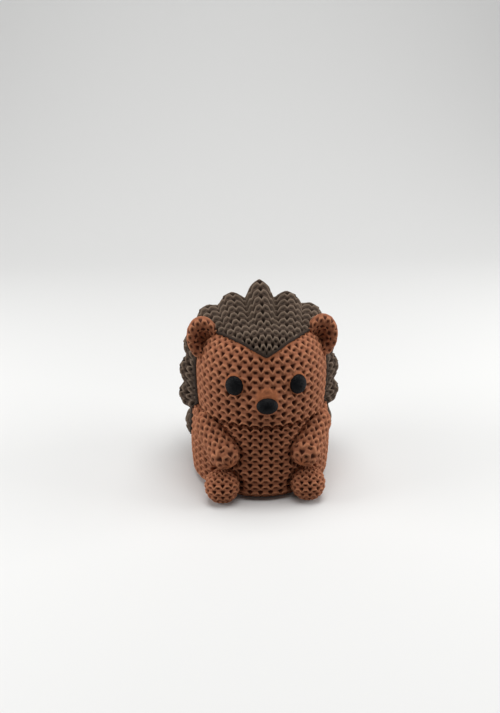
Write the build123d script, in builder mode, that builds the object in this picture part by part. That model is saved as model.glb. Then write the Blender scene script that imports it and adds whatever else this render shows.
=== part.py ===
import copy
import math
import os

from build123d import *

os.makedirs("parts", exist_ok=True)

# A sitting hedgehog figurine, in millimetres. It stands on Z = 0 and faces -Y, so its own left is +X.

# Torso
torso_radius = 26.3
torso_rise_past_neck = 5.5
torso_drop = 22.0
torso_corner_radius = 8.0
torso_middle_height = 13.5
torso_floor_rounding = 2.5
torso_neck_rounding = 2.0
neck_height = 30.0

# Head, cut flat where it sits on the torso
head_radius = 23.8
head_half_height = 20.0
head_corner_radius = 11.0
head_jaw_radius = 6.0
head_cut = 6.7
head_forward = 3.9
snout_radius = 7.5
snout_proud = 2.2
snout_drop = 3.0

# Coat: a back that bulges behind the head and torso, and a hood that comes to a peak over the brow
back_radius = 26.6
back_rise = 24.0
back_drop = 31.5
back_corner_radius = 17.0
back_middle_lift = 4.8
back_setback = 6.8
hood_thickness = 2.0
peak_forward = 21.1
peak_angle = 95
peak_rounding = 2.5

# How far the flank and the crown of a rounded form stand off its corner arc, as shares of its radius
flank_ease_share = 0.13
crown_ease_share = 0.11

# Quills stand in rings on the coat. A ring has its angle from straight back, then its quills, each with
# an angle from straight up and its share of the full quill height.
quill_radius = 6.9
quill_height = 9.8
quill_root = 4.0
quill_flank_shares = ((1, 0), (0.9, 0.42), (0.55, 0.78))
quill_heart_forward = 3.0
quill_heart_lift = 8.8
front_ring_shares = ((0, 1.0), (19, 0.64), (38.5, 0.48), (63, 0.48), (86, 0.5), (107, 0.5), (131, 0.58))
middle_ring_shares = ((14, 0.3), (43, 0.42), (72, 0.5), (101, 0.54), (130, 0.52))
rear_ring_shares = ((0, 0.62), (51, 0.6), (103, 0.58), (154, 0.55))
pole_shares = ((0, 0.62),)
quill_rings = ((77, front_ring_shares), (50, middle_ring_shares), (25, rear_ring_shares), (0, pole_shares))

# Rows of stitches: ribs between rounded grooves, on the flanks of the torso, head, back and quills
stitch_row = 3.0
stitch_groove_radius = 0.75
torso_row_start = 5.0
head_row_top = 54.5
back_row_top = 54.0
back_row_start = 10.3

# Ears
ear_half_width = 5.8
ear_half_depth = 3.6
ear_half_height = 8.0
ear_splay = 6
ear_dish_radius = 8.0
ear_dish_depth = 2.0
ear_side_share = 0.89
ear_forward_share = 0.16
ear_rise_share = 0.715
ear_tenon_radius = 1.8
ear_tenon_length = 10.0

# Eyes and nose
eye_half_width = 3.1
eye_half_height = 3.6
eye_dome = 1.9
eye_bed = 0.8
eye_angle = 28
eye_lift = 2.9
eye_stem_radius = 1.3
eye_stem_length = 6.0
nose_half_width = 3.9
nose_half_height = 3.2
nose_dome = 2.0
nose_bed = 0.8
nose_stem_radius = 1.5
nose_stem_length = 6.0

# Arms, from the shoulder to the paw
shoulder_radius = 6.0
paw_radius = 5.3
shoulder_below_neck = 4.7
paw_below_neck = 11.2
shoulder_side_share = 0.72
shoulder_forward_share = 0.49
paw_side_share = 0.555
paw_forward_share = 0.865
arm_tenon_radius = 2.2
arm_tenon_length = 12.0

# Feet, resting on the floor
foot_radius = 6.3
foot_flat = 0.2
foot_side_share = 0.593
foot_forward_share = 0.9
foot_tenon_radius = 2.2
foot_tenon_length = 12.0

# Dowels that line up the head and the coat
neck_dowel_radius = 4.5
neck_dowel_length = 16.0
coat_dowel_radius = 2.2
coat_dowel_length = 10.0
coat_dowel_angle = 155
coat_dowel_lift = 2.0
coat_dowel_lean = 53

# Fits
glue_gap = 0.12
socket_gap = 0.12
socket_end_gap = 0.4
overrun = 40.0

sides = {"left": 1, "right": -1}


class Half:
    # The upper or lower half of a rounded form's outline: a flank arc, a corner arc and a crown arc.
    def __init__(self, radius, half_height, corner_radius):
        across = radius - corner_radius * (1 + flank_ease_share)
        along = half_height - corner_radius * (1 + crown_ease_share)
        flank_ease = 2 * corner_radius * flank_ease_share
        crown_ease = 2 * corner_radius * crown_ease_share
        self.corner = (across, along)
        self.corner_radius = corner_radius
        self.flank_radius = ((radius - across) ** 2 + along ** 2 - corner_radius ** 2) / flank_ease
        self.crown_radius = ((half_height - along) ** 2 + across ** 2 - corner_radius ** 2) / crown_ease
        self.flank_centre = radius - self.flank_radius
        self.crown_centre = half_height - self.crown_radius

    def grow(self, by):
        self.corner_radius += by
        self.flank_radius += by
        self.crown_radius += by

    def joints(self):
        # Where the flank arc meets the corner arc, and where that meets the crown arc
        across, along = self.corner
        flank_turn = math.atan2(along, across - self.flank_centre)
        crown_turn = math.atan2(along - self.crown_centre, across)
        return flank_turn, crown_turn

    def points(self):
        # Ends and middles of the three arcs, from the widest point to the axis
        across, along = self.corner
        flank_turn, crown_turn = self.joints()
        arcs = (
            (self.flank_centre, 0, self.flank_radius, 0, flank_turn),
            (across, along, self.corner_radius, flank_turn, crown_turn),
            (0, self.crown_centre, self.crown_radius, crown_turn, math.pi / 2),
        )
        for centre_across, centre_along, radius, start, end in arcs:
            turns = (start, (start + end) / 2, end)
            yield [
                (centre_across + radius * math.cos(turn), centre_along + radius * math.sin(turn))
                for turn in turns
            ]

    def radius_at(self, along):
        across, corner_along = self.corner
        flank_turn, crown_turn = self.joints()
        if along < self.flank_radius * math.sin(flank_turn):
            return self.flank_centre + math.sqrt(self.flank_radius ** 2 - along ** 2)
        if along < corner_along + self.corner_radius * math.sin(crown_turn):
            return across + math.sqrt(self.corner_radius ** 2 - (along - corner_along) ** 2)
        return math.sqrt(max(self.crown_radius ** 2 - (along - self.crown_centre) ** 2, 0))


class Swell:
    # A rounded form, turned about an upright axis, with full flanks.
    def __init__(self, middle, radius, rise, drop, upper_corner_radius, lower_corner_radius):
        self.middle = Vector(middle)
        self.upper = Half(radius, rise, upper_corner_radius)
        self.lower = Half(radius, drop, lower_corner_radius)

    def grown(self, by):
        bigger = copy.deepcopy(self)
        bigger.upper.grow(by)
        bigger.lower.grow(by)
        return bigger

    def holds(self, point):
        offset = point - self.middle
        half = self.upper if offset.Z > 0 else self.lower
        return math.hypot(offset.X, offset.Y) < half.radius_at(abs(offset.Z))

    def surface(self, start, aim):
        # Where a ray from inside the form leaves it
        near = 0
        far = self.upper.crown_radius + self.lower.crown_radius
        for _ in range(50):
            halfway = (near + far) / 2
            if self.holds(start + aim * halfway):
                near = halfway
            else:
                far = halfway
        return start + aim * near

    def outward(self, point):
        # The unit normal on the flank
        offset = point - self.middle
        half = self.upper if offset.Z > 0 else self.lower
        level = Vector(offset.X, offset.Y, 0)
        return (level.normalized() * (level.length - half.flank_centre) + Vector(0, 0, offset.Z)).normalized()

    def grooves(self, bottom, top):
        # Rings on the flank, one between each two rows of stitches from the bottom to the top
        rings = []
        for count in range(1 + int((top - bottom) / stitch_row)):
            lift = bottom + count * stitch_row - self.middle.Z
            half = self.upper if lift > 0 else self.lower
            ring = Torus(half.radius_at(abs(lift)), stitch_groove_radius)
            rings.append(ring.moved(Location(self.middle + Vector(0, 0, lift))))
        return rings

    def body(self):
        with BuildPart() as turned:
            with BuildSketch(Plane.XZ):
                with BuildLine():
                    for half, sign in ((self.upper, 1), (self.lower, -1)):
                        for arc in half.points():
                            ThreePointArc(*((across, sign * along) for across, along in arc))
                    top = list(self.upper.points())[-1][-1]
                    bottom = list(self.lower.points())[-1][-1]
                    Line((top[0], top[1]), (bottom[0], -bottom[1]))
                make_face()
            revolve(axis=Axis.Z)
        return turned.part.moved(Location(self.middle))


def ball(half_width, half_depth, half_height):
    with BuildPart() as shape:
        Sphere(1)
        scale(by=(half_width, half_depth, half_height))
    return shape.part


def peg(seat, radius, length, mode=Mode.ADD):
    with Locations(seat):
        Cylinder(radius, length, align=(Align.CENTER, Align.CENTER, Align.MIN), mode=mode)


def socket(seat, radius, length):
    peg(seat, radius + socket_gap, length + socket_end_gap, Mode.SUBTRACT)


def heading(degrees):
    # A level direction, turned from straight ahead towards the figurine's left
    return Vector(math.sin(math.radians(degrees)), -math.cos(math.radians(degrees)), 0)


torso_form = Swell(
    (0, 0, torso_middle_height),
    torso_radius,
    neck_height + torso_rise_past_neck - torso_middle_height,
    torso_drop,
    torso_corner_radius,
    torso_corner_radius,
)
head_form = Swell(
    (0, -head_forward, neck_height - head_cut + head_half_height),
    head_radius,
    head_half_height,
    head_half_height,
    head_corner_radius,
    head_jaw_radius,
)
back_form = Swell(
    (0, back_setback, neck_height + back_middle_lift),
    back_radius,
    back_rise,
    back_drop,
    back_corner_radius,
    back_corner_radius,
)
hood_form = head_form.grown(hood_thickness)
head_middle = head_form.middle
torso_middle = torso_form.middle

# Seats: a plane for each pegged piece, whose Z points into the piece that holds it
neck_seat = Plane.XY.offset(neck_height - neck_dowel_length / 2)

nose_centre = head_middle + heading(0) * (head_radius + snout_proud) - Vector(0, 0, snout_drop)
nose_seat = Plane(nose_centre, x_dir=(1, 0, 0), z_dir=-heading(0))
snout_centre = nose_centre - heading(0) * snout_radius

coat_dowel_axis = Vector(
    0,
    math.cos(math.radians(coat_dowel_lean)),
    math.sin(math.radians(coat_dowel_lean)),
)
ear_centres, ear_seats, eye_seats = {}, {}, {}
shoulder_centres, paw_centres, arm_seats = {}, {}, {}
foot_centres, foot_seats, coat_dowel_seats = {}, {}, {}
for name, side in sides.items():
    ear_centres[name] = head_middle + Vector(
        side * ear_side_share * head_radius,
        -ear_forward_share * head_radius,
        ear_rise_share * head_half_height,
    )
    ear_seats[name] = Plane(ear_centres[name], z_dir=head_middle - ear_centres[name])

    eye_level = head_middle + Vector(0, 0, eye_lift)
    eye_centre = head_form.surface(eye_level, heading(side * eye_angle))
    eye_normal = head_form.outward(eye_centre)
    eye_seats[name] = Plane(eye_centre, x_dir=eye_normal.cross(Vector(0, 0, 1)), z_dir=-eye_normal)

    shoulder_centres[name] = Vector(
        side * shoulder_side_share * torso_radius,
        -shoulder_forward_share * torso_radius,
        neck_height - shoulder_below_neck,
    )
    paw_centres[name] = Vector(
        side * paw_side_share * torso_radius,
        -paw_forward_share * torso_radius,
        neck_height - paw_below_neck,
    )
    arm_middle = (shoulder_centres[name] + paw_centres[name]) / 2
    arm_inward = (torso_middle - arm_middle).normalized()
    arm_seats[name] = Plane(arm_middle - arm_inward * (paw_radius / 2), z_dir=arm_inward)

    foot_centres[name] = Vector(
        side * foot_side_share * torso_radius,
        -foot_forward_share * torso_radius,
        foot_radius - foot_flat,
    )
    foot_inward = Vector(-foot_centres[name].X, -foot_centres[name].Y, 0)
    foot_seats[name] = Plane(foot_centres[name], z_dir=foot_inward)

    dowel_level = head_middle + Vector(0, 0, coat_dowel_lift)
    dowel_centre = head_form.surface(dowel_level, heading(side * coat_dowel_angle))
    coat_dowel_seats[name] = Plane(
        dowel_centre - coat_dowel_axis * (coat_dowel_length / 2),
        x_dir=(1, 0, 0),
        z_dir=coat_dowel_axis,
    )

# Torso, flat on the floor and flat under the head
torso_row_top = neck_height - torso_neck_rounding - stitch_groove_radius
torso_grooves = torso_form.grooves(torso_row_start, torso_row_top)
with BuildPart() as torso:
    add(torso_form.body())
    split(bisect_by=Plane.XY, keep=Keep.TOP)
    split(bisect_by=Plane.XY.offset(neck_height), keep=Keep.BOTTOM)
    fillet(torso.faces().sort_by(Axis.Z)[0].edges(), torso_floor_rounding)
    fillet(torso.faces().sort_by(Axis.Z)[-1].edges(), torso_neck_rounding)
    add(torso_grooves, mode=Mode.SUBTRACT)
    with BuildSketch(neck_seat.offset(-socket_end_gap)):
        RegularPolygon(neck_dowel_radius + socket_gap, 6)
    extrude(amount=neck_dowel_length, mode=Mode.SUBTRACT)
    for name in sides:
        socket(arm_seats[name], arm_tenon_radius, arm_tenon_length)
        socket(foot_seats[name], foot_tenon_radius, foot_tenon_length)
torso.part.label = "torso"
export_step(torso.part, "parts/torso.step")

# Head with its snout, the shallow beds of the eyes and nose, and the sockets
head_grooves = head_form.grooves(neck_height + stitch_row, head_row_top)
with BuildPart() as head:
    add(head_form.body())
    add(head_grooves, mode=Mode.SUBTRACT)
    with Locations(snout_centre):
        Sphere(snout_radius)
    split(bisect_by=Plane.XY.offset(neck_height), keep=Keep.TOP)
    with BuildSketch(neck_seat):
        RegularPolygon(neck_dowel_radius + socket_gap, 6)
    extrude(amount=neck_dowel_length + socket_end_gap, mode=Mode.SUBTRACT)
    with BuildSketch(nose_seat.offset(nose_bed)):
        Ellipse(nose_half_width + socket_gap, nose_half_height + socket_gap)
    extrude(amount=-overrun, mode=Mode.SUBTRACT)
    socket(nose_seat, nose_stem_radius, nose_stem_length)
    for name in sides:
        with BuildSketch(eye_seats[name].offset(eye_bed)):
            Ellipse(eye_half_width + socket_gap, eye_half_height + socket_gap)
        extrude(amount=-overrun, mode=Mode.SUBTRACT)
        socket(eye_seats[name], eye_stem_radius, eye_stem_length)
        socket(ear_seats[name], ear_tenon_radius, ear_tenon_length)
        socket(coat_dowel_seats[name].offset(-socket_end_gap), coat_dowel_radius, coat_dowel_length)
head.part.label = "head"
export_step(head.part, "parts/head.step")

with BuildPart() as neck_dowel:
    with BuildSketch(neck_seat):
        RegularPolygon(neck_dowel_radius, 6)
    extrude(amount=neck_dowel_length)
neck_dowel.part.label = "neck_dowel"
export_step(neck_dowel.part, "parts/neck_dowel.step")

with BuildPart() as coat_dowels:
    for name in sides:
        peg(coat_dowel_seats[name], coat_dowel_radius, coat_dowel_length)
coat_dowels.part.label = "coat_dowels"
export_step(coat_dowels.part, "parts/coat_dowels.step")

# The room that the head and torso need in other pieces, with the head straight-sided below its middle
with BuildPart() as head_room:
    add(head_form.grown(glue_gap).body())
    with BuildSketch(Plane(head_middle)):
        Circle(head_radius + glue_gap)
    extrude(amount=neck_height - head_middle.Z)
torso_room = torso_form.grown(glue_gap).body()


def ear_body(name, growth):
    tilt = Location(ear_centres[name], (0, sides[name] * ear_splay, 0))
    return ball(ear_half_width + growth, ear_half_depth + growth, ear_half_height + growth).moved(tilt)


def arm_body(name, growth):
    shoulder, paw = shoulder_centres[name], paw_centres[name]
    length = (paw - shoulder).length
    slope = math.degrees(math.asin((shoulder_radius - paw_radius) / length))
    along = Plane(shoulder, x_dir=paw - shoulder, z_dir=(paw - shoulder).cross(Vector(0, 0, 1)))
    with BuildPart() as body:
        with BuildSketch(along):
            with BuildLine():
                upper = CenterArc((0, 0), shoulder_radius + growth, 90 - slope, 90 + slope)
                lower = CenterArc((length, 0), paw_radius + growth, 0, 90 - slope)
                Line(lower @ 1, upper @ 0)
                Line(upper @ 1, lower @ 0)
            make_face()
        revolve(axis=Axis(shoulder, paw - shoulder))
    return body.part


def quill_body(height):
    with BuildPart() as body:
        with BuildSketch(Plane.XZ):
            with BuildLine():
                flank = Polyline(*((quill_radius * out, height * up) for out, up in quill_flank_shares))
                brink = flank @ 1
                cap_centre = (height ** 2 - brink.X ** 2 - brink.Y ** 2) / (2 * (height - brink.Y))
                RadiusArc(brink, (0, height), -(height - cap_centre))
                Polyline((0, height), (0, 0), flank @ 0)
            make_face()
        revolve(axis=Axis.Z)
        for out, up in quill_flank_shares[1:]:
            with Locations((0, 0, height * up)):
                Torus(quill_radius * out, stitch_groove_radius, mode=Mode.SUBTRACT)
    return body.part


# Hood: the head's form made thicker, kept behind a pointed line in plan
with BuildPart() as hood:
    add(hood_form.body())
    with BuildSketch(Plane(head_middle)):
        with BuildLine():
            run_back = overrun / math.tan(math.radians(peak_angle / 2)) - peak_forward
            FilletPolyline((-overrun, run_back), (0, -peak_forward), (overrun, run_back), radius=peak_rounding)
            Polyline((overrun, run_back), (overrun, overrun), (-overrun, overrun), (-overrun, run_back))
        make_face()
    extrude(amount=overrun, mode=Mode.INTERSECT)

quill_heart = Vector(0, -quill_heart_forward, neck_height + quill_heart_lift)
quills = []
for ring_angle, ring_shares in quill_rings:
    for turn, height_share in ring_shares:
        for side in (1, -1) if turn else (1,):
            out, around = math.radians(ring_angle), math.radians(side * turn)
            aim = Vector(math.sin(out) * math.sin(around), math.cos(out), math.sin(out) * math.cos(around))
            feet = [form.surface(quill_heart, aim) for form in (back_form, hood_form)]
            foot = max(feet, key=lambda point: (point - quill_heart).length)
            stand = Plane(foot - aim * quill_root, z_dir=aim)
            quills.append(quill_body(quill_root + height_share * quill_height).moved(stand.location))

# Coat with its quills and dowel holes
back_grooves = back_form.grooves(back_row_start, back_row_top)
with BuildPart() as quill_coat:
    add(back_form.body())
    add(back_grooves, mode=Mode.SUBTRACT)
    add(hood.part)
    add(quills)
    add(head_room.part, mode=Mode.SUBTRACT)
    add(torso_room, mode=Mode.SUBTRACT)
    for name in sides:
        add(ear_body(name, glue_gap), mode=Mode.SUBTRACT)
        add(arm_body(name, glue_gap), mode=Mode.SUBTRACT)
        socket(coat_dowel_seats[name], coat_dowel_radius, coat_dowel_length)
quill_coat.part.label = "quill_coat"
export_step(quill_coat.part, "parts/quill_coat.step")


def make_ear(name):
    with BuildPart() as ear:
        add(ear_body(name, 0))
        front = ear_centres[name] + heading(0) * (ear_half_depth - ear_dish_depth + ear_dish_radius)
        with Locations(front):
            Sphere(ear_dish_radius, mode=Mode.SUBTRACT)
        add(head_room.part, mode=Mode.SUBTRACT)
        peg(ear_seats[name], ear_tenon_radius, ear_tenon_length)
    return ear.part


def make_eye(name):
    with BuildPart() as eye:
        bed = eye_seats[name].offset(eye_bed)
        with Locations(bed):
            add(ball(eye_half_width, eye_half_height, eye_bed + eye_dome))
        split(bisect_by=bed, keep=Keep.BOTTOM)
        peg(eye_seats[name], eye_stem_radius, eye_stem_length)
    return eye.part


def make_arm(name):
    with BuildPart() as arm:
        add(arm_body(name, 0))
        add(torso_room, mode=Mode.SUBTRACT)
        add(head_room.part, mode=Mode.SUBTRACT)
        with Locations(foot_centres[name]):
            Sphere(foot_radius + glue_gap, mode=Mode.SUBTRACT)
        peg(arm_seats[name], arm_tenon_radius, arm_tenon_length)
    return arm.part


def make_foot(name):
    with BuildPart() as foot:
        with Locations(foot_centres[name]):
            Sphere(foot_radius)
        split(bisect_by=Plane.XY, keep=Keep.TOP)
        add(torso_room, mode=Mode.SUBTRACT)
        peg(foot_seats[name], foot_tenon_radius, foot_tenon_length)
    return foot.part


for name in sides:
    for kind, make in (("ear", make_ear), ("eye", make_eye), ("arm", make_arm), ("foot", make_foot)):
        piece = make(name)
        piece.label = f"{name}_{kind}"
        export_step(piece, f"parts/{name}_{kind}.step")

with BuildPart() as nose:
    bed = nose_seat.offset(nose_bed)
    with Locations(bed):
        add(ball(nose_half_width, nose_half_height, nose_bed + nose_dome))
    split(bisect_by=bed, keep=Keep.BOTTOM)
    peg(nose_seat, nose_stem_radius, nose_stem_length)
nose.part.label = "nose"
export_step(nose.part, "parts/nose.step")
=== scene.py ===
import math

import bpy
import numpy as np
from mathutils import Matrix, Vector
from mathutils.bvhtree import BVHTree


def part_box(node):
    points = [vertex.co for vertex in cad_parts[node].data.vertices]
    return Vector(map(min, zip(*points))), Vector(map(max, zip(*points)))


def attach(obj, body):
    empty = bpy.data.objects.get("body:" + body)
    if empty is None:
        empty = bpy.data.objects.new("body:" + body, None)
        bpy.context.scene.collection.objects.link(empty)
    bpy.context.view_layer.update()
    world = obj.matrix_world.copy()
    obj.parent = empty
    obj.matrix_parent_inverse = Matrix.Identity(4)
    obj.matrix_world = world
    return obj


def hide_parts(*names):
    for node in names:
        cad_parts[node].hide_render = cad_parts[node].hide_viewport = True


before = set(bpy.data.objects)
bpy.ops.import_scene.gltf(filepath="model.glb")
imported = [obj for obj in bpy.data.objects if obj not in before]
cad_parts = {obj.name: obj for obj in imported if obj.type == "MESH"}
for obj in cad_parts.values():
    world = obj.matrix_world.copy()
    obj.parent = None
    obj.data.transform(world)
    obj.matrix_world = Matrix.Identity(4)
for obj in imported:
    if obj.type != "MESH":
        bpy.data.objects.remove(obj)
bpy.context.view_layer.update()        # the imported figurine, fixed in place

mm = 0.001

# One knitted stitch, in shares of a column and a row. A strand climbs from the foot of a V to a flat
# shoulder, with a big pit over the foot and a small pit between two Vs
stitch = dict(
    dip=0.42,                                # height of the V
    shoulder=0.26,                           # where its slope ends
    strandHalf=0.16,                         # half the strand's thickness
    bigPit=dict(bottom=(0.1, 0.17), top=(0.66, 0.8), side=(0.17, 0.25)),
    smallPit=dict(bottom=(0.54, 0.62), top=(0.82, 0.9), side=(0.1, 0.2), share=0.85),
    crest=0.3 * mm,
    base=-0.12 * mm,
    pitDepth=1.1 * mm,
    endRows=0.6,                             # where the relief fades out at both ends of a piece
    columnSteps=(0, 0.1, 0.18, 0.27, 0.4, 0.5, 0.6, 0.73, 0.82, 0.9),
    rowSteps=(0, 0.09, 0.17, 0.32, 0.48, 0.62, 0.76, 0.9),
    weld=0.01 * mm,
)


def ramp(x, low, high):    # 0 up to low, 1 from high on
    t = np.clip((x - low) / (high - low), 0, 1)
    return t * t * (3 - 2 * t)


def fade(x, low, high):    # 1 up to low, 0 from high on
    return 1 - ramp(x, low, high)


def fromFoot(columns):     # distance from the foot of the nearest V
    return np.abs(columns - np.round(columns))


def zigzag(columns):       # how far the strand has climbed
    return stitch["dip"] * np.clip(fromFoot(columns) / stitch["shoulder"], 0, 1)


def stitchRelief(columns, rows):
    apart = fromFoot(columns)
    between = 0.5 - apart
    across = rows - np.floor(rows)
    level = across + zigzag(columns)
    strand = np.sqrt(np.clip(1 - (np.minimum(across, 1 - across) / stitch["strandHalf"]) ** 2, 0, 1))
    big, small = stitch["bigPit"], stitch["smallPit"]
    bigPit = ramp(across, *big["bottom"]) * fade(level, *big["top"]) * fade(apart, *big["side"])
    smallPit = fade(between, *small["side"]) * ramp(across, *small["bottom"]) * fade(across, *small["top"])
    return strand, np.maximum(bigPit, small["share"] * smallPit)


def fewer(fromTip, steps):
    # the share of a row's stitches that is kept, as when a maker knits two together:
    # each step gives a number of rows from the tip and the share up to there
    kept = np.ones_like(fromTip)
    for end, share in steps:
        kept = np.where(fromTip > end, kept, share)
    return kept


def deselectAll():
    if bpy.context.object and bpy.context.object.mode != "OBJECT":
        bpy.ops.object.mode_set(mode="OBJECT")
    bpy.ops.object.select_all(action="DESELECT")


def onlyActive(piece):
    deselectAll()
    piece.select_set(True)
    bpy.context.view_layer.objects.active = piece


def treeOf(mesh):
    points = np.empty(len(mesh.vertices) * 3)
    mesh.vertices.foreach_get("co", points)
    return BVHTree.FromPolygons(points.reshape(-1, 3).tolist(), [list(p.vertices) for p in mesh.polygons])


def hullTree(node):        # the outside of a node with its sockets closed over
    mould = bpy.data.objects.new("mould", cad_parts[node].data.copy())
    bpy.context.scene.collection.objects.link(mould)
    onlyActive(mould)
    bpy.ops.object.mode_set(mode="EDIT")
    bpy.ops.mesh.select_all(action="SELECT")
    bpy.ops.mesh.convex_hull()
    bpy.ops.object.mode_set(mode="OBJECT")
    tree = treeOf(mould.data)
    bpy.data.objects.remove(mould)
    return tree


def reachIn(tree, centre, ways, far=0.12):
    # distance from the centre to the outside of a form, by rays that come from outside
    reach = np.zeros(ways.shape[:-1])
    middle = Vector(centre)
    flat = reach.ravel()
    for i, way in enumerate(ways.reshape(-1, 3)):
        toward = Vector(way)
        hit = tree.ray_cast(middle + toward * far, -toward, far)
        if hit[0] is not None:
            flat[i] = far - hit[3]
    return reach


def soften(field, times):  # a field [row, column] whose columns close on themselves
    ring = field[:, :-1]
    for _ in range(times):
        ring = (np.roll(ring, 1, 1) + 2 * ring + np.roll(ring, -1, 1)) / 4
        ends = np.vstack([ring[:1], ring, ring[-1:]])
        ring = (ends[:-2] + 2 * ring + ends[2:]) / 4
    return np.hstack([ring, ring[:, :1]])


def fillGrooves(field, reach):   # evens out furrows narrower than twice the reach, in grid steps
    for pick in (np.maximum, np.minimum):
        ring = field[:, :-1]
        for _ in range(reach):
            ring = pick(pick(np.roll(ring, 1, 1), np.roll(ring, -1, 1)), ring)
            ends = np.vstack([ring[:1], ring, ring[-1:]])
            ring = pick(pick(ends[:-2], ends[2:]), ring)
        field = np.hstack([ring, ring[:, :1]])
    return field


def outward(points, least=1e-12):    # normals of a grid of points [row, column] that closes on itself
    along = np.gradient(points, axis=0)[:, :-1]
    ring = points[:, :-1]
    around = np.roll(ring, -1, 1) - np.roll(ring, 1, 1)
    normals = np.cross(around, along)
    normals = np.concatenate([normals, normals[:, :1]], 1)
    normals = normals / np.maximum(np.linalg.norm(normals, axis=2, keepdims=True), least)
    facing = np.sum(normals * (points - points.mean(axis=(0, 1))))
    return normals * np.sign(facing)


def finishPiece(piece, material, node):
    onlyActive(piece)
    bpy.ops.object.mode_set(mode="EDIT")
    bpy.ops.mesh.select_all(action="SELECT")
    bpy.ops.mesh.remove_doubles(threshold=stitch["weld"])
    bpy.ops.mesh.normals_make_consistent(inside=False)
    bpy.ops.object.mode_set(mode="OBJECT")
    bpy.ops.object.shade_smooth()
    piece.data.materials.clear()
    piece.data.materials.append(material)
    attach(piece, "root")
    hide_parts(node)


def stitchGrid(count, steps):
    return np.concatenate([np.add.outer(np.arange(count), steps).ravel(), [count]])


def knit(name, spec, lay, node, material):
    # lay turns shares of the way round and along into points. In the spec, plain says where the knitting is
    # smooth, sunk how far a place is lowered, and tip where the rows have fewer stitches
    columns, rows = spec["columns"], spec["rows"]
    columnAt, rowAt = stitchGrid(columns, stitch["columnSteps"]), stitchGrid(rows, stitch["rowSteps"])
    wide, tall = len(columnAt) - 1, len(rowAt) - 1
    deselectAll()
    bpy.ops.mesh.primitive_grid_add(x_subdivisions=wide, y_subdivisions=tall, size=1)
    piece = bpy.context.object
    piece.name = piece.data.name = name
    flat = np.empty(len(piece.data.vertices) * 3)
    piece.data.vertices.foreach_get("co", flat)
    flat = flat.reshape(-1, 3)
    column = np.round((flat[:, 0] + 0.5) * wide).astype(int)
    row = np.round((flat[:, 1] + 0.5) * tall).astype(int)

    rowPlace, columnPlace = np.meshgrid(rowAt, columnAt, indexing="ij")
    fromTip = rows - rowPlace if spec.get("tipLast") else rowPlace
    stitchPlace = columnPlace * fewer(fromTip, spec.get("tip", ()))
    ends = ramp(rowPlace, 0, stitch["endRows"]) * fade(rowPlace, rows - stitch["endRows"], rows)
    real = rowPlace + ends * zigzag(stitchPlace)
    points = lay(columnPlace / columns, np.clip(real / rows, 0, 1))
    normals = outward(points)
    smooth = 1 - ends
    if "plain" in spec:
        smooth = np.maximum(smooth, spec["plain"](points, columnPlace / columns, real / rows))
    strand, pit = (field * (1 - smooth) for field in stitchRelief(stitchPlace, rowPlace))
    height = stitch["base"] * (1 - smooth) + stitch["crest"] * strand - stitch["pitDepth"] * pit
    height = height * spec["depth"]
    if "sunk" in spec:
        height = height - spec["sunk"](points)
    points = points + normals * height[..., None]
    piece.data.vertices.foreach_set("co", points[row, column].astype(np.float32).ravel())
    # the material paints a highlight on strand, shade in pit, and its hem tone on hem: a highlight in brown,
    # shade in taupe
    for label, field in (("strand", strand), ("pit", pit), ("hem", smooth)):
        layer = piece.data.attributes.new(label, "FLOAT", "POINT")
        layer.data.foreach_set("value", field[row, column].astype(np.float32).ravel())
    finishPiece(piece, material, node)
    faces = len(piece.data.polygons)
    lowest = round(min(v.co.z for v in piece.data.vertices) / mm, 2)
    print("knitted", name, columns, "by", rows, "stitches,", faces, "faces, lowest at", lowest, "mm")


def evenly(angles, points, shares, weights=None):
    # places along a list of angles whose points are evenly spaced, and the whole length
    steps = np.linalg.norm(np.diff(points, axis=0), axis=1)
    if weights is not None:
        steps = steps * (weights[1:] + weights[:-1]) / 2
    length = np.concatenate([[0], np.cumsum(steps)])
    return np.interp(shares, length / length[-1], angles), length[-1]


def nearness(points, node, near, far):    # 1 close to a node, 0 further off
    tree = treeOf(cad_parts[node].data)
    away = np.array([tree.find_nearest(Vector(p))[3] for p in points.reshape(-1, 3)])
    return fade(away.reshape(points.shape[:2]), near, far)


def plainBelow(low, high):                # smooth knitting near the floor, which the brown hem tone lightens as a painted highlight
    def plain(points, roundShare, alongShare):
        return fade(points[..., 2], low, high)

    return plain


def unit(vector):
    return vector / np.linalg.norm(vector)


def aroundAxis(start, axis, level, top, along, wide, tall, turn):
    return (
        start
        + axis * along[..., None]
        + level * (wide * np.sin(turn))[..., None]
        + top * (tall * np.cos(turn))[..., None]
    )


# Materials: printed yarn for the knitting, with painted highlight and painted shade, and a fine grain for
# the rest
mixSockets = dict(factor=0, first=6, second=7, result=2)    # the colour sockets of a mix node
yarnSpec = dict(
    mottle=dict(Scale=420, Detail=4),
    layers=dict(Scale=1600, Distortion=2.0),
    bump=dict(Strength=0.25, Distance=0.1 * mm),
    strandHighlightShare=0.8,
    hemHighlightAndShadeShare=0.8,
    mottleShare=0.6,
    mottleShift=-0.18,
    pitShadeShare=0.95,
)
grainSpec = dict(speckle=dict(Scale=1500, Detail=2), share=1.0)


def linear(*screen):       # screen values 0 to 255 as linear light, by the sRGB formula
    shares = [value / 255 for value in screen]
    return tuple(v / 12.92 if v <= 0.04045 else ((v + 0.055) / 1.055) ** 2.4 for v in shares)


def addNode(tree, kind, **values):
    made = tree.nodes.new(kind)
    for key, value in values.items():
        setattr(made, key, value)
    return made


def setInputs(node, values):
    for label, value in values.items():
        node.inputs[label].default_value = value


def newGroup(name, inputs, outputs):
    group = bpy.data.node_groups.new(name, "ShaderNodeTree")
    for way, sockets in (("INPUT", inputs), ("OUTPUT", outputs)):
        for label, kind in sockets.items():
            group.interface.new_socket(name=label, in_out=way, socket_type="NodeSocket" + kind)
    return group, addNode(group, "NodeGroupInput").outputs, addNode(group, "NodeGroupOutput").inputs


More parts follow.
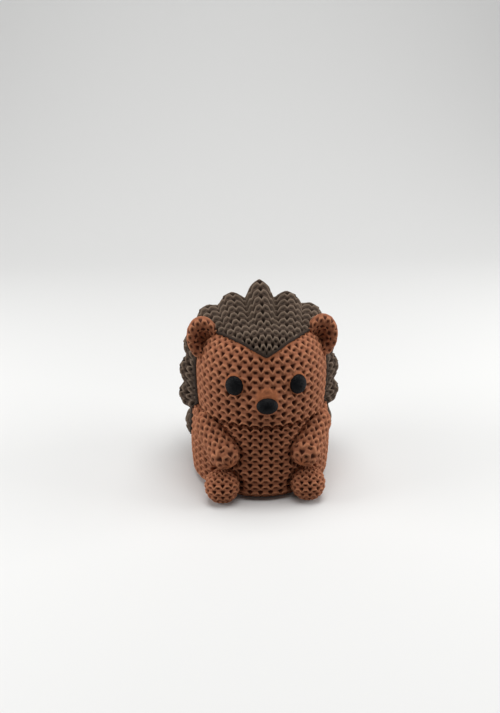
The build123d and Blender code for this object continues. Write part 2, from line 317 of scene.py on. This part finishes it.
def noiseIn(tree, settings):
    coords = addNode(tree, "ShaderNodeTexCoord")
    noise = addNode(tree, "ShaderNodeTexNoise")
    setInputs(noise, settings)
    tree.links.new(coords.outputs["Object"], noise.inputs["Vector"])
    return noise.outputs["Fac"], coords.outputs["Object"]


def mixIn(tree, first, second, share, factor, add=0.0):
    # second over first, by a share that is scaled and lifted
    amount = addNode(tree, "ShaderNodeMath", operation="MULTIPLY_ADD")
    tree.links.new(share, amount.inputs[0])
    amount.inputs[1].default_value = factor
    amount.inputs[2].default_value = add
    mix = addNode(tree, "ShaderNodeMix", data_type="RGBA")
    tree.links.new(amount.outputs[0], mix.inputs[mixSockets["factor"]])
    tree.links.new(first, mix.inputs[mixSockets["first"]])
    tree.links.new(second, mix.inputs[mixSockets["second"]])
    return mix.outputs[mixSockets["result"]]


def yarnRelief():     # strands lighter as a painted highlight, pits darker as painted shade, a smooth hem whose tone is a painted highlight in brown and painted shade in taupe, a little mottle and fine printed layers
    colours = {label: "Color" for label in ("Body", "Strand", "Pit", "Hem")}
    group, given, made = newGroup("yarnRelief", colours, {"Color": "Color", "Layers": "Float"})
    mottle, place = noiseIn(group, yarnSpec["mottle"])

    def painted(label):
        return addNode(group, "ShaderNodeAttribute", attribute_name=label).outputs["Fac"]

    # painted highlight: the strands' crests are lightened in colour
    colour = mixIn(group, given["Body"], given["Strand"], painted("strand"), yarnSpec["strandHighlightShare"])
    # the hem tone paints the smooth places: a painted highlight in brown, painted shade in taupe
    colour = mixIn(group, colour, given["Hem"], painted("hem"), yarnSpec["hemHighlightAndShadeShare"])
    colour = mixIn(group, colour, given["Pit"], mottle, yarnSpec["mottleShare"], yarnSpec["mottleShift"])
    # painted shade: the pits are darkened in colour, over the mottle that shares their dark tone
    colour = mixIn(group, colour, given["Pit"], painted("pit"), yarnSpec["pitShadeShare"])
    group.links.new(colour, made["Color"])
    layers = addNode(group, "ShaderNodeTexWave", wave_type="BANDS", bands_direction="Z")
    setInputs(layers, yarnSpec["layers"])
    group.links.new(place, layers.inputs["Vector"])
    group.links.new(layers.outputs["Fac"], made["Layers"])
    return group


def fineGrain():      # two close tones in a fine speckle
    group, given, made = newGroup("fineGrain", {"First": "Color", "Second": "Color"}, {"Color": "Color"})
    speckle, _ = noiseIn(group, grainSpec["speckle"])
    colour = mixIn(group, given["First"], given["Second"], speckle, grainSpec["share"])
    group.links.new(colour, made["Color"])
    return group


def newMaterial(name, group, roughness, gloss, **tones):
    made = bpy.data.materials.new(name)
    made.use_nodes = True
    tree = made.node_tree
    shader = tree.nodes["Principled BSDF"]
    finish = addNode(tree, "ShaderNodeGroup", node_tree=group)
    setInputs(finish, {label: (*linear(*tone), 1) for label, tone in tones.items()})
    tree.links.new(finish.outputs["Color"], shader.inputs["Base Color"])
    if "Layers" in finish.outputs:
        bump = addNode(tree, "ShaderNodeBump")
        setInputs(bump, yarnSpec["bump"])
        tree.links.new(finish.outputs["Layers"], bump.inputs["Height"])
        tree.links.new(bump.outputs["Normal"], shader.inputs["Normal"])
    setInputs(shader, {"Roughness": roughness, "Specular IOR Level": gloss})
    return made


yarn, grain = yarnRelief(), fineGrain()
# brown: the strand tone is a painted highlight, the pit tone painted shade and the mottle's dark tone, the
# hem tone a painted highlight
brown = newMaterial("brownKnit", yarn, roughness=0.8, gloss=0.25,
                    Body=(166, 104, 73), Strand=(198, 132, 95), Pit=(68, 31, 18), Hem=(198, 120, 77))
# taupe: the strand tone is a painted highlight, the pit tone painted shade and the mottle's dark tone, the
# darker hem tone painted shade at the coat's edge
taupe = newMaterial("taupeKnit", yarn, roughness=0.8, gloss=0.25,
                    Body=(74, 58, 46), Strand=(136, 117, 100), Pit=(16, 10, 7), Hem=(44, 34, 27))
black = newMaterial("blackEyes", grain, roughness=0.5, gloss=0.1, First=(5, 6, 8), Second=(14, 15, 18))
paleDowel = newMaterial("paleDowel", grain, roughness=0.7, gloss=0.3,
                        First=(214, 208, 196), Second=(226, 221, 210))
print("made the materials", brown.name, taupe.name, black.name, paleDowel.name)

# Head and torso, knitted round an upright axis
barrelSpec = dict(lifts=721, sparse=0.12, softening=3)


def roundWay(turn, lift):   # turn from straight back, lift from straight down
    return np.stack([np.sin(lift) * np.sin(turn), np.sin(lift) * np.cos(turn), -np.cos(lift)], -1)


def barrel(node, centre, low, high, hidden):
    # rows are laid sparsely in the hidden margins at the bottom and the top, because nothing shows there
    tree = hullTree(node)
    lifts = np.linspace(0, math.pi, barrelSpec["lifts"])
    side = roundWay(np.full_like(lifts, math.pi / 2), lifts)
    points = np.array(centre) + side * reachIn(tree, centre, side)[:, None]
    height = points[:, 2]
    unseen = (height < low.z + hidden[0]) | (height > high.z - hidden[1])
    weights = np.where(unseen, barrelSpec["sparse"], 1.0)

    def lay(roundShare, upShare):
        lift, _ = evenly(lifts, points, upShare, weights)
        ways = roundWay(math.tau * roundShare, lift)
        reach = soften(reachIn(tree, centre, ways), barrelSpec["softening"])
        return np.array(centre) + ways * reach[..., None]

    return lay, evenly(lifts, points, 1, weights)[1]


headLow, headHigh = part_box("head")
headSpec = dict(
    columns=37,
    row=3.25 * mm,
    depth=0.8,
    crown=20 * mm,                           # from the centre to the top
    hidden=(0.2 * mm, 3 * mm),
    hem=(1.2 * mm, 1.9 * mm),
    eyeRing=(0.4 * mm, 0.8 * mm),
    sinking=1.3 * mm,                        # room under the coat for the depth of its stitches
    sinkPast=(-0.9 * mm, -0.2 * mm),
    sinkUnder=(0.1 * mm, 0.3 * mm),
)
bridgeSpec = dict(halfWidth=4.2 * mm, halfHeight=2.2 * mm, height=44.2 * mm, edge=(0.6, 1.2), share=0.8)
browSpec = dict(forward=21.2 * mm, slope=0.241, curve=0.0388 / mm, lift=6 * mm, hem=(0.35 * mm, 0.75 * mm))
headRadius = headHigh.x
headCentre = (0, headHigh.y - headRadius, headHigh.z - headSpec["crown"])


def beforeBrow(points):    # how far a point of the head lies before the edge of the coat, in plan
    across = np.abs(points[..., 0])
    forward = browSpec["forward"] - browSpec["slope"] * across - browSpec["curve"] * across ** 2
    return headCentre[1] - forward - points[..., 1]


def aboveBrow(points):
    return points[..., 2] > headCentre[2] + browSpec["lift"]


def onBridge(points):      # the smooth patch over the nose, which the brown hem tone lightens as a painted highlight
    x, y, z = (points[..., k] for k in range(3))
    away = (x / bridgeSpec["halfWidth"]) ** 2 + ((z - bridgeSpec["height"]) / bridgeSpec["halfHeight"]) ** 2
    return bridgeSpec["share"] * fade(away, *bridgeSpec["edge"]) * (y < 0)


# smooth knitting by the coat, eyes, nose and bridge, which the brown hem tone lightens as a painted
# highlight
def headPlain(points, roundShare, alongShare):
    smooth = nearness(points, "quill_coat", *headSpec["hem"])
    for part in ("left_eye", "right_eye", "nose"):
        smooth = np.maximum(smooth, nearness(points, part, *headSpec["eyeRing"]))
    smooth = np.maximum(smooth, onBridge(points))
    return np.maximum(smooth, aboveBrow(points) * fade(beforeBrow(points), *browSpec["hem"]))


def headSunk(points):
    pastBrow = aboveBrow(points) * fade(beforeBrow(points), *headSpec["sinkPast"])
    return headSpec["sinking"] * np.maximum(pastBrow, nearness(points, "quill_coat", *headSpec["sinkUnder"]))


lay, length = barrel("head", headCentre, headLow, headHigh, headSpec["hidden"])
headSpec.update(rows=round(length / headSpec["row"]), plain=headPlain, sunk=headSunk)
knit("knitHead", headSpec, lay, "head", brown)

torsoLow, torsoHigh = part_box("torso")
torsoSpec = dict(
    columns=43,
    row=2.75 * mm,
    depth=1.0,
    hidden=(0.2 * mm, 0.2 * mm),
    plain=plainBelow(0.2 * mm, 1.0 * mm),
    drawn=1.6 * mm,                          # how much narrower it is on the floor
    drawnOver=(0.5 * mm, 3.2 * mm),
    crease=1.5 * mm,
    creaseWidth=(0.5 * mm, 2.2 * mm),
)


def torsoSunk(points):     # a crease round the arms and feet
    limbs = (side + limb for side in ("left", "right") for limb in ("_arm", "_foot"))
    close = [nearness(points, limb, *torsoSpec["creaseWidth"]) for limb in limbs]
    return torsoSpec["crease"] * np.max(close, axis=0)


def drawnIn(lay):
    def drawnLay(roundShare, upShare):
        points = lay(roundShare, upShare)
        share = torsoSpec["drawn"] / torsoHigh.x * fade(points[..., 2], *torsoSpec["drawnOver"])
        x, y, z = (points[..., k] for k in range(3))
        return np.stack([x * (1 - share), y * (1 - share), np.maximum(z, torsoLow.z)], -1)

    return drawnLay


lay, length = barrel("torso", (0, 0, torsoHigh.z / 2), torsoLow, torsoHigh, torsoSpec["hidden"])
torsoSpec.update(rows=round(length / torsoSpec["row"]), sunk=torsoSunk)
knit("knitTorso", torsoSpec, drawnIn(lay), "torso", brown)

# Coat, knitted round an axis that points straight back, from the peak over the brow
coatSpec = dict(
    columns=60,
    rows=21,
    depth=1.25,
    tip=((5, 0.5), (2, 0.2)),
    tipLast=True,                            # the rows end at the back
    heart=(0, -3 * mm, 38.8 * mm),
    farTilt=math.radians(144),
    edgeTurns=481,
    edgeTilts=(30, 150, 0.75),               # degrees at which the edge is looked for
    crestTilt=math.radians(77),              # where the front quills stand
    crestBlend=math.radians(10),
    solidLobes=(0, 19, 38.5, 63, 86, 107, 131),    # degrees from straight up to the solid's front quills
    lobes=(0, 20.5, 40.5, 63, 86, 107, 131),       # and to those that are shown
    lobesFade=math.radians(10),
    endHalf=math.radians(11),                # half the width of the last lobe
    valleys=(4.2 * mm, 2.6 * mm, 2.0 * mm, 2.0 * mm, 2.0 * mm, 2.0 * mm),
    roundness=1.8,
    leastSlope=math.radians(12),
    fill=2,
    softening=2,
    swell=0.6 * mm,
    skin=1.3 * mm,                           # least thickness over the body
    edgeSkin=0.78 * mm,                      # and at the edge
    seenSkin=0.325 * mm,                     # how far out the solid coat counts as seen
    thickening=5,                            # the skin is full a fifth of the slope above the edge
    tuck=math.radians(5),
    edge=0.4 * mm,
    sink=1.0 * mm,
    browFrom=(6 * mm, 12 * mm),
    browHem=(0.7 * mm, 1.2 * mm),
    sideHem=(0.2 * mm, 0.6 * mm),
)
coatHeart = np.array(coatSpec["heart"])
coatTree = treeOf(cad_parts["quill_coat"].data)
bodyTrees = [hullTree("head"), hullTree("torso")]


def backWay(turn, tilt):    # turn from straight up towards the left, tilt from straight back
    return np.stack([np.sin(tilt) * np.sin(turn), np.cos(tilt), np.sin(tilt) * np.cos(turn)], -1)


def wrapped(turn):          # the same direction, within half a turn either way
    return (turn + math.pi) % math.tau - math.pi


def bodyReach(ways):
    return np.maximum(*(reachIn(tree, coatHeart, ways) for tree in bodyTrees))


def coatReach(turn, tilt):  # the solid coat with its grooves filled
    solid = reachIn(coatTree, coatHeart, backWay(turn, tilt))
    return soften(fillGrooves(solid, coatSpec["fill"]), coatSpec["softening"])


def coatRim():
    # the tilt of the edge at each turn: a curved line over the brow, and where the solid coat ends elsewhere
    turns = np.linspace(-math.pi, math.pi, coatSpec["edgeTurns"])
    tilts = np.radians(np.arange(*coatSpec["edgeTilts"]))
    ways = backWay(*np.meshgrid(turns, tilts, indexing="ij"))
    body = bodyReach(ways)
    skin = coatHeart + ways * body[..., None]
    shows = reachIn(coatTree, coatHeart, ways) > body + coatSpec["seenSkin"]
    shows = shows | (aboveBrow(skin) & (beforeBrow(skin) < 0))
    rim = tilts[len(tilts) - 1 - np.argmax(shows[:, ::-1], axis=1)]
    return turns, soften(rim[None, :], 1)[0]


rimTurns, rimTilts = coatRim()
rimReach = float(np.mean(bodyReach(backWay(rimTurns, rimTilts))))
rimLow, rimHigh = (round(math.degrees(tilt)) for tilt in (rimTilts.min(), rimTilts.max()))
print("coat edge runs from", rimLow, "to", rimHigh, "degrees")


def edgeAt(roundShare):
    return np.interp(wrapped(math.tau * roundShare), rimTurns, rimTilts)


def coatTilt(alongShare):
    return coatSpec["farTilt"] * (1 - alongShare)


def crestReach(turn, crest):
    # rounded lobes through the tips of the solid's front quills, with sharp valleys between them
    solid = coatReach(turn, crest)
    places = np.radians(coatSpec["lobes"])
    aims = backWay(np.radians(coatSpec["solidLobes"]), np.full(len(places), coatSpec["crestTilt"]))
    tips = reachIn(coatTree, coatHeart, aims)
    away = np.abs(wrapped(turn))
    lobed = np.zeros_like(solid)
    for i, place in enumerate(places):
        for step in (-1, 1):
            other = max(0, min(i + step, len(places) - 1))
            gap = abs(places[other] - place) / 2 or coatSpec["endHalf"]
            low = min(tips[i], tips[other]) - coatSpec["valleys"][min(i, other, len(places) - 2)]
            along = (away - place) * step / gap
            flank = tips[i] - (tips[i] - low) * np.abs(along) ** coatSpec["roundness"]
            lobed = np.where((along >= 0) & (along <= 1), flank, lobed)
    keep = fade(away, places[-1], places[-1] + coatSpec["lobesFade"])
    return np.where(lobed > 0, keep * lobed + (1 - keep) * solid, solid)


def behindCrest(turn, tilt, crest, crestLine):
    # follows the solid and rises into the crest of the front quills
    behind = np.minimum(tilt, crest)
    ways = backWay(turn, behind)
    reach = coatReach(turn, behind)
    reach = reach + (crestLine - reach) * ramp(tilt, crest - coatSpec["crestBlend"], crest)
    return coatHeart + ways * np.maximum(reach, bodyReach(ways) + coatSpec["skin"])[..., None]


def beforeCrest(turn, tilt, crest, crestLine, edge, bodyLine):
    # each quill runs down in a ridge to the edge
    share = np.clip((tilt - crest) / (edge - crest), 0, 1)
    crestPoint = coatHeart + backWay(turn, crest) * crestLine[..., None]
    edgePoint = coatHeart + backWay(turn, edge) * (bodyLine + coatSpec["edgeSkin"])[..., None]
    swell = coatSpec["swell"] * 4 * share * (1 - share)
    slope = crestPoint + (edgePoint - crestPoint) * share[..., None] + backWay(turn, tilt) * swell[..., None]
    spread = np.linalg.norm(slope - coatHeart, axis=-1)
    ways = (slope - coatHeart) / spread[..., None]
    thicker = np.clip((1 - share) * coatSpec["thickening"], 0, 1)
    thick = coatSpec["edgeSkin"] + (coatSpec["skin"] - coatSpec["edgeSkin"]) * thicker
    return coatHeart + ways * np.maximum(spread, bodyReach(ways) + thick)[..., None]


def pastEdge(turn, tilt, edge, bodyLine):
    # turns in under the surface of the body
    past = np.clip((tilt - edge) / coatSpec["tuck"], 0, 1) * math.pi / 2
    fall = (coatSpec["edgeSkin"] + coatSpec["sink"]) * (1 - np.cos(past))
    turned = edge + coatSpec["edge"] / bodyLine * np.sin(past)
    return coatHeart + backWay(turn, turned) * (bodyLine + coatSpec["edgeSkin"] - fall)[..., None]


def coatLay(roundShare, alongShare):
    turn, tilt, edge = math.tau * roundShare, coatTilt(alongShare), edgeAt(roundShare)
    crest = np.minimum(coatSpec["crestTilt"], edge - coatSpec["leastSlope"])
    crestLine = crestReach(turn[:1], crest[:1])
    bodyLine = bodyReach(backWay(turn[:1], edge[:1]))
    slopes = beforeCrest(turn, tilt, crest, crestLine, edge, bodyLine)
    points = np.where((tilt > crest)[..., None], slopes, behindCrest(turn, tilt, crest, crestLine))
    return np.where((tilt > edge)[..., None], pastEdge(turn, tilt, edge, bodyLine), points)


# smooth knitting at the coat's edge and brow, which the taupe hem tone darkens as painted shade
def coatPlain(points, roundShare, alongShare):
    toEdge = (edgeAt(roundShare) - coatTilt(alongShare)) * rimReach
    onBrow = ramp(points[..., 2] - headCentre[2], *coatSpec["browFrom"])
    return np.maximum(fade(toEdge, *coatSpec["sideHem"]), onBrow * fade(toEdge, *coatSpec["browHem"]))


coatSpec.update(plain=coatPlain)
knit("knitCoat", coatSpec, coatLay, "quill_coat", taupe)

# Ears: a thick rim round a dish, knitted round the way they face
earSpec = dict(
    columns=12,
    rows=5,
    depth=0.4,
    tip=((1.2, 0.5),),
    centre=(21.2 * mm, -7.7 * mm, 57.6 * mm),
    halfWidth=5.8 * mm,
    halfHeight=8.0 * mm,
    splay=math.radians(6),
    outShares=(0, 0.24, 0.44, 0.6, 0.86, 1.0, 0.96, 0.76, 0.42, 0),
    backs=[back * mm for back in (0.0, -0.4, -1.8, -3.1, -3.4, -1.7, 0.7, 2.7, 3.5, 3.7)],
    dishShift=(-1.3 * mm, -1.2 * mm),
    dishFade=(0.3, 0.55),
)


def smoothThrough(values, shares):   # a rounded curve through evenly spaced values
    values = np.array(values)
    ends = np.concatenate([[2 * values[0] - values[1]], values, [2 * values[-1] - values[-2]]])
    place = np.clip(shares, 0, 1) * (len(values) - 1)
    index = np.minimum(place.astype(int), len(values) - 2)
    t = place - index
    p, q, r, s = (ends[index + k] for k in range(4))
    square, cube = 2 * p - 5 * q + 4 * r - s, 3 * q - p - 3 * r + s
    return 0.5 * (2 * q + (r - p) * t + square * t ** 2 + cube * t ** 3)


def earLay(side):
    def lay(roundShare, alongShare):
        turn = math.tau * roundShare
        out = smoothThrough(earSpec["outShares"], alongShare)
        back = smoothThrough(earSpec["backs"], alongShare)
        dish = (1 - out) * fade(alongShare, *earSpec["dishFade"])
        across = earSpec["halfWidth"] * out * np.sin(turn) + side * earSpec["dishShift"][0] * dish
        up = earSpec["halfHeight"] * out * np.cos(turn) + earSpec["dishShift"][1] * dish
        lean = side * earSpec["splay"]
        x, y, z = earSpec["centre"]
        leftward = side * x + across * math.cos(lean) + up * math.sin(lean)
        upward = z - across * math.sin(lean) + up * math.cos(lean)
        return np.stack([leftward, y + back, upward], -1)

    return lay


# Arms: tapered, from paw to shoulder
armSpec = dict(
    columns=12,
    rows=9,
    depth=0.7,
    tip=((2, 0.5),),
    shoulder=(18.9 * mm, -12.9 * mm, 25.3 * mm),
    paw=(14.6 * mm, -22.75 * mm, 18.8 * mm),
    shoulderRadius=6.2 * mm,
    pawRadius=5.6 * mm,
    capSteps=25,
)


def armLay(side):
    mirror = np.array((side, 1, 1))
    paw, shoulder = (np.array(armSpec[end]) * mirror for end in ("paw", "shoulder"))
    length = np.linalg.norm(shoulder - paw)
    axis = unit(shoulder - paw)
    level = unit(np.cross(axis, (0, 0, 1)))
    top = np.cross(level, axis)
    low, high = armSpec["pawRadius"], armSpec["shoulderRadius"]
    quarter = np.linspace(0, 1, armSpec["capSteps"]) * math.pi / 2
    outs = np.concatenate([low * np.sin(quarter), high * np.cos(quarter)])
    alongs = np.concatenate([-low * np.cos(quarter), length + high * np.sin(quarter)])
    places = np.arange(len(outs))

    def lay(roundShare, alongShare):
        index, _ = evenly(places, np.stack([outs, alongs], -1), alongShare)
        out, along = (np.interp(index, places, values) for values in (outs, alongs))
        return aroundAxis(paw, axis, level, top, along, out, out, math.tau * roundShare)

    return lay


# Feet: round, flat where they stand
footSpec = dict(
    columns=12,
    rows=8,
    depth=0.85,
    plain=plainBelow(0.3 * mm, 1.3 * mm),
    centre=(15.6 * mm, -23.7 * mm, 6.1 * mm),
    radius=6.3 * mm,
    lean=math.radians(-18),
)


def footLay(side):
    def lay(roundShare, alongShare):
        way = roundWay(math.tau * roundShare, math.pi * alongShare)
        lean = footSpec["lean"]
        y = way[..., 1] * math.cos(lean) - way[..., 2] * math.sin(lean)
        z = way[..., 1] * math.sin(lean) + way[..., 2] * math.cos(lean)
        x0, y0, z0 = footSpec["centre"]
        r = footSpec["radius"]
        return np.stack([side * x0 + r * way[..., 0], y0 + r * y, np.maximum(z0 + r * z, 0)], -1)

    return lay


limbs = (("Ear", earSpec, earLay), ("Arm", armSpec, armLay), ("Foot", footSpec, footLay))
for name, side in (("left", 1), ("right", -1)):
    for limb, spec, layFor in limbs:
        title, node = "knit" + limb + name.capitalize(), name + "_" + limb.lower()
        knit(title, spec, layFor(side), node, brown)

# Eyes and nose: low domes with a faint weave
domeSpec = dict(columns=14, rows=8, depth=0.1)
eyeSpec = dict(
    domeSpec,
    place=(10.95 * mm, -24.7 * mm, 46.0 * mm),
    facing=(28, 6),                          # degrees outward and upward
    half=(3.3 * mm, 3.5 * mm, 2.2 * mm),     # across, up and forward
)
noseSpec = dict(
    domeSpec,
    place=(0, -29.3 * mm, 40.0 * mm),
    facing=(0, 4),
    half=(3.75 * mm, 2.9 * mm, 2.5 * mm),
)


def domeLay(spec, side):
    turnOut, tip = (math.radians(angle) for angle in spec["facing"])
    flat = math.cos(tip)
    face = np.array((side * math.sin(turnOut) * flat, -math.cos(turnOut) * flat, math.sin(tip)))
    level = unit(np.cross(face, (0, 0, 1)))
    top = np.cross(level, face)
    wide, tall, deep = spec["half"]
    middle = np.array(spec["place"]) * np.array((side, 1, 1))

    def lay(roundShare, alongShare):
        tilt = math.pi * alongShare
        along, out = deep * np.cos(tilt), np.sin(tilt)
        return aroundAxis(middle, face, level, top, along, wide * out, tall * out, math.tau * roundShare)

    return lay


for name, spec, side in (("left_eye", eyeSpec, 1), ("right_eye", eyeSpec, -1), ("nose", noseSpec, 1)):
    title = "knit" + "".join(word.capitalize() for word in name.split("_"))
    knit(title, spec, domeLay(spec, side), name, black)

# Dowels: the solids themselves, hidden inside
for name in ("neck_dowel", "coat_dowels"):
    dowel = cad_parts[name]
    dowel.data.materials.clear()
    dowel.data.materials.append(paleDowel)

# Floor that sweeps up behind
sweepSpec = dict(
    side=3.0,
    front=-1.6,
    back=0.75,
    height=1.6,
    bend=0.45,
    bendSteps=24,
    seen=(0.8, 0.8, 0.79, 1),
    bounced=(0.4, 0.4, 0.395, 1),            # the tone that lights the figurine, darker for a darker belly
    roughness=0.9,
    gloss=0.1,
)


def sweepFloor():
    deselectAll()
    bpy.ops.mesh.primitive_plane_add(size=1)
    floor = bpy.context.object
    floor.name = "floor"
    onlyActive(floor)
    bpy.ops.object.mode_set(mode="EDIT")
    bpy.ops.mesh.select_all(action="SELECT")
    bpy.ops.transform.resize(value=(sweepSpec["side"], sweepSpec["back"] - sweepSpec["front"], 1))
    bpy.ops.transform.translate(value=(0, (sweepSpec["back"] + sweepSpec["front"]) / 2, 0))
    bpy.ops.object.mode_set(mode="OBJECT")
    for edge in floor.data.edges:
        edge.select = all(floor.data.vertices[v].co.y > 0 for v in edge.vertices)
    for vertex in floor.data.vertices:
        vertex.select = vertex.co.y > 0
    for face in floor.data.polygons:
        face.select = False
    bpy.ops.object.mode_set(mode="EDIT")
    bpy.ops.mesh.select_mode(type="EDGE")
    bpy.ops.mesh.extrude_region_move(TRANSFORM_OT_translate={"value": (0, 0, sweepSpec["height"])})
    bpy.ops.object.mode_set(mode="OBJECT")
    bend = floor.modifiers.new("bend", "BEVEL")
    bend.width = sweepSpec["bend"]
    bend.segments = sweepSpec["bendSteps"]
    bend.limit_method = "ANGLE"
    bpy.ops.object.modifier_apply(modifier="bend")
    bpy.ops.object.shade_smooth()
    return floor


def paleFloor():
    made = bpy.data.materials.new("paleFloor")
    made.use_nodes = True
    tree = made.node_tree
    shader = tree.nodes["Principled BSDF"]
    rays = addNode(tree, "ShaderNodeLightPath")
    seen = rays.outputs["Is Camera Ray"]
    for other in ("Is Glossy Ray", "Is Transmission Ray"):
        either = addNode(tree, "ShaderNodeMath", operation="MAXIMUM")
        tree.links.new(seen, either.inputs[0])
        tree.links.new(rays.outputs[other], either.inputs[1])
        seen = either.outputs[0]
    shade = addNode(tree, "ShaderNodeMix", data_type="RGBA")
    shade.inputs[mixSockets["first"]].default_value = sweepSpec["bounced"]
    shade.inputs[mixSockets["second"]].default_value = sweepSpec["seen"]
    tree.links.new(seen, shade.inputs[mixSockets["factor"]])
    tree.links.new(shade.outputs[mixSockets["result"]], shader.inputs["Base Color"])
    setInputs(shader, {"Roughness": sweepSpec["roughness"], "Specular IOR Level": sweepSpec["gloss"]})
    return made


floor = sweepFloor()
floor.data.materials.clear()
floor.data.materials.append(paleFloor())

# Light: a faint world, a large lamp overhead and a weak one on either side
worldSpec = dict(Color=(0.97, 0.98, 1.0, 1), Strength=0.1)
overhead = dict(place=(0.05, 0.0, 0.9), target=(0, 0, 0.03), size=0.7, power=7.0)
sideFill = dict(aside=0.45, forward=-0.02, height=0.16, target=(0, 0, 0.04), size=0.3, power=1.35)

world = bpy.data.worlds.new("studio")
bpy.context.scene.world = world
world.use_nodes = True
setInputs(world.node_tree.nodes["Background"], worldSpec)


def aimed(name, data, place, target):
    thing = bpy.data.objects.new(name, data)
    bpy.context.scene.collection.objects.link(thing)
    thing.location = place
    thing.rotation_euler = (Vector(target) - Vector(place)).to_track_quat("-Z", "Y").to_euler()
    return thing


def areaLight(name, place, spec):
    light = bpy.data.lights.new(name, "AREA")
    light.size = spec["size"]
    light.energy = spec["power"]
    aimed(name, light, place, spec["target"])


areaLight("overhead", overhead["place"], overhead)
for name, side in (("leftFill", 1), ("rightFill", -1)):
    areaLight(name, (side * sideFill["aside"], sideFill["forward"], sideFill["height"]), sideFill)

# Camera, fitted to the photograph
view = dict(
    azimuth=math.radians(-4),
    elevation=math.radians(22),
    distance=300 * mm,
    focal=810,                               # in pixels of the photograph
    frameHeight=713,
    sensorHeight=36,
    nearest=10 * mm,
    target=(-3.9 * mm, -0.5 * mm, 46.8 * mm),
)
turn, lift = view["azimuth"], view["elevation"]
sight = Vector((math.sin(turn) * math.cos(lift), -math.cos(turn) * math.cos(lift), math.sin(lift)))
camera = bpy.data.cameras.new("camera")
camera.sensor_fit = "VERTICAL"
camera.sensor_height = view["sensorHeight"]
camera.lens = view["focal"] * view["sensorHeight"] / view["frameHeight"]
camera.clip_start = view["nearest"]
eyePoint = Vector(view["target"]) + view["distance"] * sight
bpy.context.scene.camera = aimed("camera", camera, eyePoint, view["target"])
bpy.context.scene.view_settings.view_transform = "Standard"
print("set up the floor, the lights and the camera")
